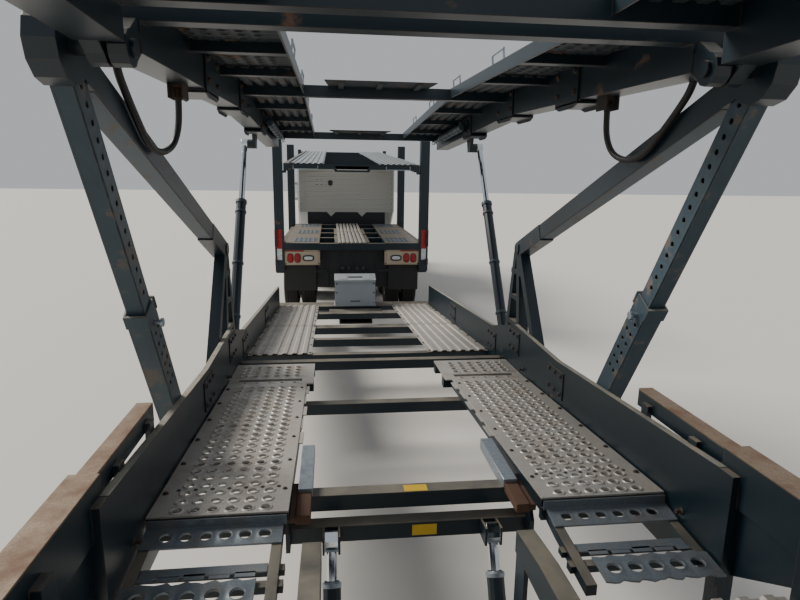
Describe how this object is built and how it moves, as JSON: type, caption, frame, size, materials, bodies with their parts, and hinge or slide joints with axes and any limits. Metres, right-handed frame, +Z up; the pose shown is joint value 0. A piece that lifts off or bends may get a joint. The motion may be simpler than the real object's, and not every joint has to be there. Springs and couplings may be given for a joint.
{
  "type": "car transporter truck",
  "caption": "Articulated car transporter with a conventional sleeper cab, a head rack over the cab, and a low double-deck trailer hinged behind the drive wheels.",
  "frame": {"origin": "on the road, on the centreline, halfway between the front bumper and the trailer's rear end", "axes": "+Y forward along the vehicle, +X to its right side, +Z up"},
  "size_m": [2.59, 24.4, 3.23],
  "materials": {
    "black_rubber": "matte",
    "bumper_chrome": "polished",
    "cab_paint": "gloss",
    "cab_trim": "moulded",
    "cast_iron": "rough",
    "chassis_paint": "satin",
    "chrome_rod": "polished",
    "clear_glass": "clear",
    "deck_steel": "worn",
    "lamp_box_paint": "satin",
    "lamp_lens": "clear",
    "red_lens": "gloss",
    "rim_steel": "satin",
    "silver_paint": "satin",
    "tank_aluminium": "brushed",
    "teal_paint": "worn",
    "tyre": "matte"
  },
  "bodies": {
    "tractor": {"tractor_frame": "chassis_paint", "engine_block": "cast_iron", "tractor_axles": "cast_iron", "fuel_tanks": "tank_aluminium", "cab_shell": "cab_paint", "windscreen": "clear_glass", "cab_interior": "cab_trim", "front_bumper": "bumper_chrome", "tractor_deck": "deck_steel", "rack_posts": "teal_paint", "lamp_boxes": "lamp_box_paint", "tractor_lamps": "red_lens", "tractor_flaps": "black_rubber"},
    "hood": {"hood": "cab_paint", "headlamps": "lamp_lens"},
    "left_door": {"left_door": "cab_paint", "left_door_glass": "clear_glass"},
    "right_door": {"right_door": "cab_paint", "right_door_glass": "clear_glass"},
    "left_knuckle": {"left_knuckle": "cast_iron"},
    "right_knuckle": {"right_knuckle": "cast_iron"},
    "head_rack": {"head_rack": "deck_steel"},
    "trailer": {"trailer_frame": "teal_paint", "hitch_housing": "silver_paint", "trailer_axles": "cast_iron", "deck_plates": "deck_steel", "swing_arms": "teal_paint", "pinned_posts": "teal_paint", "trailer_lamps": "red_lens", "trailer_flaps": "black_rubber"},
    "front_bed": {"front_bed": "teal_paint"},
    "rear_bed": {"rear_bed": "teal_paint"},
    "lower_bed": {"lower_bed": "teal_paint", "main_plates": "deck_steel"},
    "front_left_wheel": {"front_left_tyre": "tyre", "front_left_rim": "rim_steel"},
    "front_right_wheel": {"front_right_tyre": "tyre", "front_right_rim": "rim_steel"},
    "rear_drive_left_wheel": {"rear_drive_left_tyre": "tyre", "rear_drive_left_rim": "rim_steel"},
    "rear_drive_right_wheel": {"rear_drive_right_tyre": "tyre", "rear_drive_right_rim": "rim_steel"},
    "front_drive_left_wheel": {"front_drive_left_tyre": "tyre", "front_drive_left_rim": "rim_steel"},
    "front_drive_right_wheel": {"front_drive_right_tyre": "tyre", "front_drive_right_rim": "rim_steel"},
    "rear_trailer_left_wheel": {"rear_trailer_left_tyre": "tyre", "rear_trailer_left_rim": "rim_steel"},
    "rear_trailer_right_wheel": {"rear_trailer_right_tyre": "tyre", "rear_trailer_right_rim": "rim_steel"},
    "front_trailer_left_wheel": {"front_trailer_left_tyre": "tyre", "front_trailer_left_rim": "rim_steel"},
    "front_trailer_right_wheel": {"front_trailer_right_tyre": "tyre", "front_trailer_right_rim": "rim_steel"},
    "front_lift_barrels": {"front_lift_barrels": "teal_paint"},
    "front_lift_rods": {"front_lift_rods": "chrome_rod"},
    "rear_lift_barrels": {"rear_lift_barrels": "teal_paint"},
    "rear_lift_rods": {"rear_lift_rods": "chrome_rod"},
    "lower_lift_barrels": {"lower_lift_barrels": "teal_paint"},
    "lower_lift_rods": {"lower_lift_rods": "chrome_rod"}
  },
  "joints": [
    {"name": "hitch_turn", "type": "hinge", "parent": "tractor", "child": "trailer", "pos_m": [0, 2.75, 0.46], "axis": [0, 0, 1], "range_deg": [-40, 40]},
    {"name": "left_steer", "type": "hinge", "parent": "tractor", "child": "left_knuckle", "pos_m": [-0.84, 10.9, 0.5], "axis": [0, 0, 1], "range_deg": [-32, 32]},
    {"name": "right_steer", "type": "hinge", "parent": "tractor", "child": "right_knuckle", "pos_m": [0.84, 10.9, 0.5], "axis": [0, 0, 1], "range_deg": [-32, 32]},
    {"name": "left_door_open", "type": "hinge", "parent": "tractor", "child": "left_door", "pos_m": [-1.104, 9.883, 1.6], "axis": [0, 0, -1], "range_deg": [0, 65]},
    {"name": "right_door_open", "type": "hinge", "parent": "tractor", "child": "right_door", "pos_m": [1.104, 9.883, 1.6], "axis": [0, 0, 1], "range_deg": [0, 65]},
    {"name": "hood_tilt", "type": "hinge", "parent": "tractor", "child": "hood", "pos_m": [0, 12.06, 0.9], "axis": [-1, 0, 0], "range_deg": [0, 40]},
    {"name": "rack_raise", "type": "hinge", "parent": "tractor", "child": "head_rack", "pos_m": [0, 11.7, 3.15], "axis": [-1, 0, 0], "range_deg": [0, 2.5]},
    {"name": "front_bed_lower", "type": "hinge", "parent": "trailer", "child": "front_bed", "pos_m": [0, -4.15, 2.9], "axis": [-1, 0, 0], "range_deg": [0, 9]},
    {"name": "rear_bed_lower", "type": "hinge", "parent": "trailer", "child": "rear_bed", "pos_m": [0, -4.15, 2.9], "axis": [1, 0, 0], "range_deg": [0, 9]},
    {"name": "lower_bed_lift", "type": "hinge", "parent": "trailer", "child": "lower_bed", "pos_m": [0, -1.96, 0.9], "axis": [-1, 0, 0], "range_deg": [-4, 5]},
    {"name": "front_left_spin", "type": "hinge", "parent": "left_knuckle", "child": "front_left_wheel", "pos_m": [-0.95, 10.9, 0.5], "axis": [-1, 0, 0], "continuous": true},
    {"name": "front_right_spin", "type": "hinge", "parent": "right_knuckle", "child": "front_right_wheel", "pos_m": [0.95, 10.9, 0.5], "axis": [-1, 0, 0], "continuous": true},
    {"name": "rear_drive_left_spin", "type": "hinge", "parent": "tractor", "child": "rear_drive_left_wheel", "pos_m": [-0.95, 5.15, 0.5], "axis": [-1, 0, 0], "continuous": true},
    {"name": "rear_drive_right_spin", "type": "hinge", "parent": "tractor", "child": "rear_drive_right_wheel", "pos_m": [0.95, 5.15, 0.5], "axis": [-1, 0, 0], "continuous": true},
    {"name": "front_drive_left_spin", "type": "hinge", "parent": "tractor", "child": "front_drive_left_wheel", "pos_m": [-0.95, 6.45, 0.5], "axis": [-1, 0, 0], "continuous": true},
    {"name": "front_drive_right_spin", "type": "hinge", "parent": "tractor", "child": "front_drive_right_wheel", "pos_m": [0.95, 6.45, 0.5], "axis": [-1, 0, 0], "continuous": true},
    {"name": "rear_trailer_left_spin", "type": "hinge", "parent": "trailer", "child": "rear_trailer_left_wheel", "pos_m": [-0.95, -7.25, 0.465], "axis": [-1, 0, 0], "continuous": true},
    {"name": "rear_trailer_right_spin", "type": "hinge", "parent": "trailer", "child": "rear_trailer_right_wheel", "pos_m": [0.95, -7.25, 0.465], "axis": [-1, 0, 0], "continuous": true},
    {"name": "front_trailer_left_spin", "type": "hinge", "parent": "trailer", "child": "front_trailer_left_wheel", "pos_m": [-0.95, -6.05, 0.465], "axis": [-1, 0, 0], "continuous": true},
    {"name": "front_trailer_right_spin", "type": "hinge", "parent": "trailer", "child": "front_trailer_right_wheel", "pos_m": [0.95, -6.05, 0.465], "axis": [-1, 0, 0], "continuous": true},
    {"name": "front_lift_swing", "type": "hinge", "parent": "trailer", "child": "front_lift_barrels", "pos_m": [0, -1.05, 1.1], "axis": [-1, 0, 0], "range_deg": [-0.01, 11.84]},
    {"name": "front_lift_stroke", "type": "slide", "parent": "front_lift_barrels", "child": "front_lift_rods", "axis": [0, -0.5744, -0.8186], "range_m": [-0.0005, 0.5556]},
    {"name": "rear_lift_swing", "type": "hinge", "parent": "trailer", "child": "rear_lift_barrels", "pos_m": [0, -6.87, 1.512], "axis": [-1, 0, 0], "range_deg": [-0.01, 1.3]},
    {"name": "rear_lift_stroke", "type": "slide", "parent": "rear_lift_barrels", "child": "rear_lift_rods", "axis": [0, 0.0223, -0.9998], "range_m": [-0.0005, 0.4314]},
    {"name": "lower_lift_swing", "type": "hinge", "parent": "trailer", "child": "lower_lift_barrels", "pos_m": [0, -4.11, 0.33], "axis": [1, 0, 0], "range_deg": [-6.05, 7.55]},
    {"name": "lower_lift_stroke", "type": "slide", "parent": "lower_lift_barrels", "child": "lower_lift_rods", "axis": [0, 0.4777, 0.8785], "range_m": [-0.1146, 0.1431]}
  ],
  "couplings": [
    {"joint": "right_steer", "follows": "left_steer", "ratio": 1},
    {"joint": "front_lift_swing", "follows": "front_bed_lower", "ratio": 1.3146},
    {"joint": "front_lift_stroke", "follows": "front_bed_lower", "m_per_rad": 3.5336},
    {"joint": "rear_lift_swing", "follows": "rear_bed_lower", "ratio": 0.14378},
    {"joint": "rear_lift_stroke", "follows": "rear_bed_lower", "m_per_rad": 2.743},
    {"joint": "lower_lift_swing", "follows": "lower_bed_lift", "ratio": 1.5091},
    {"joint": "lower_lift_stroke", "follows": "lower_bed_lift", "m_per_rad": 1.6338}
  ]
}
